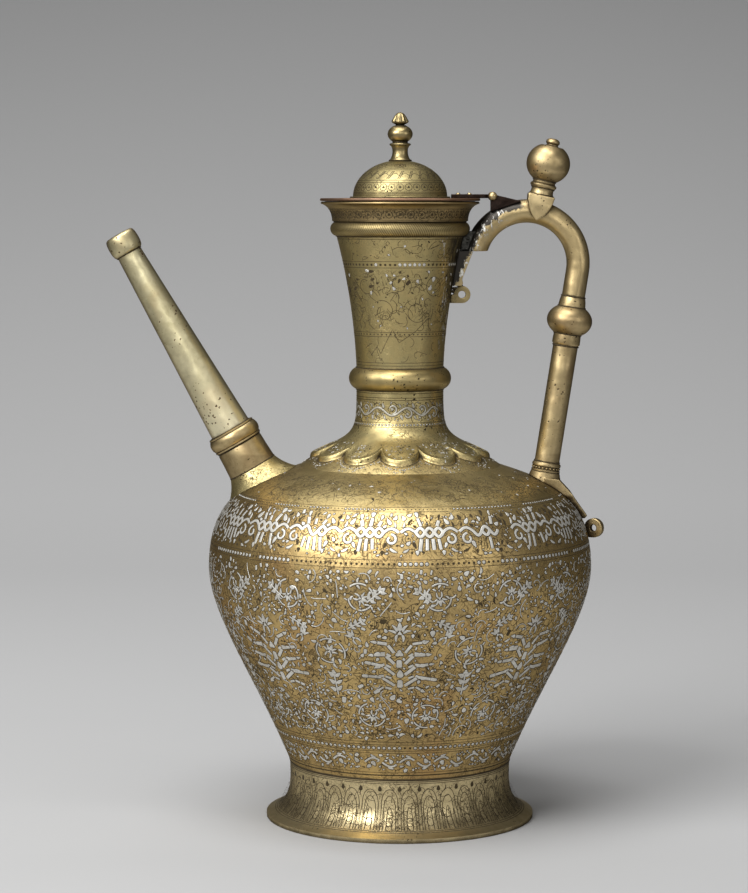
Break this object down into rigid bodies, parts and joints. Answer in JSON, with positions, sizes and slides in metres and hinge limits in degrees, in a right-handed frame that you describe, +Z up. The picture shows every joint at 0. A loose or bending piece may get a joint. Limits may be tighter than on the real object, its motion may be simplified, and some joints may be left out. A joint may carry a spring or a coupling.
{
  "type": "ewer",
  "caption": "Inlaid brass ewer with a broad-shouldered body on a flared foot, tall neck, hinged domed lid, straight slanting spout and loop handle with a ball thumb knob",
  "frame": {"origin": "centre of the foot on the floor plane", "axes": "+Z up along the axis of the body, +X towards the handle, -X towards the spout; the picture looks along +Y"},
  "size_m": [0.2678, 0.2062, 0.3798],
  "materials": {
    "body_brass": "aged golden-brown brass with engraving and silvery inlay",
    "cast_brass": "pale olive-gold cast brass, lightly pitted and worn",
    "copper_red": "copper-red aged sheet",
    "dark_iron": "dark, nearly black, rough",
    "solder": "dark grey solder with a few bright spots"
  },
  "bodies": {
    "ewer": {"vessel_body": "body_brass", "base_plate": "body_brass", "foot_ring": "body_brass", "neck_collar": "body_brass", "neck_ring": "body_brass", "neck_tube": "body_brass", "mouth_ring": "body_brass", "mouth_rim": "body_brass", "hinge_pin": "cast_brass", "hinge_bracket": "dark_iron", "handle_arch": "cast_brass", "upper_terminal": "cast_brass", "upper_lug": "cast_brass", "upper_solder": "solder", "upper_collar": "cast_brass", "handle_knop": "cast_brass", "lower_collar": "cast_brass", "handle_shaft": "cast_brass", "beaded_ring": "cast_brass", "lower_terminal": "cast_brass", "lower_lug": "cast_brass", "thumb_saddle": "cast_brass", "thumb_stem": "cast_brass", "thumb_ball": "cast_brass", "thumb_button": "cast_brass", "spout_flange": "body_brass", "spout_socket": "cast_brass", "spout_ring": "cast_brass", "spout_tube": "cast_brass", "spout_mouthpiece": "cast_brass"},
    "lid": {"lid_plate": "copper_red", "lid_dome": "body_brass", "finial_pedestal": "cast_brass", "finial_ball": "cast_brass", "finial_bud": "cast_brass", "lid_strap": "dark_iron", "strap_rivets": "cast_brass"}
  },
  "joints": [
    {"name": "lid_hinge", "type": "hinge", "parent": "ewer", "child": "lid", "pos_m": [0.0493, 0, 0.33525], "axis": [0, 1, 0], "range_deg": [0, 105]}
  ]
}
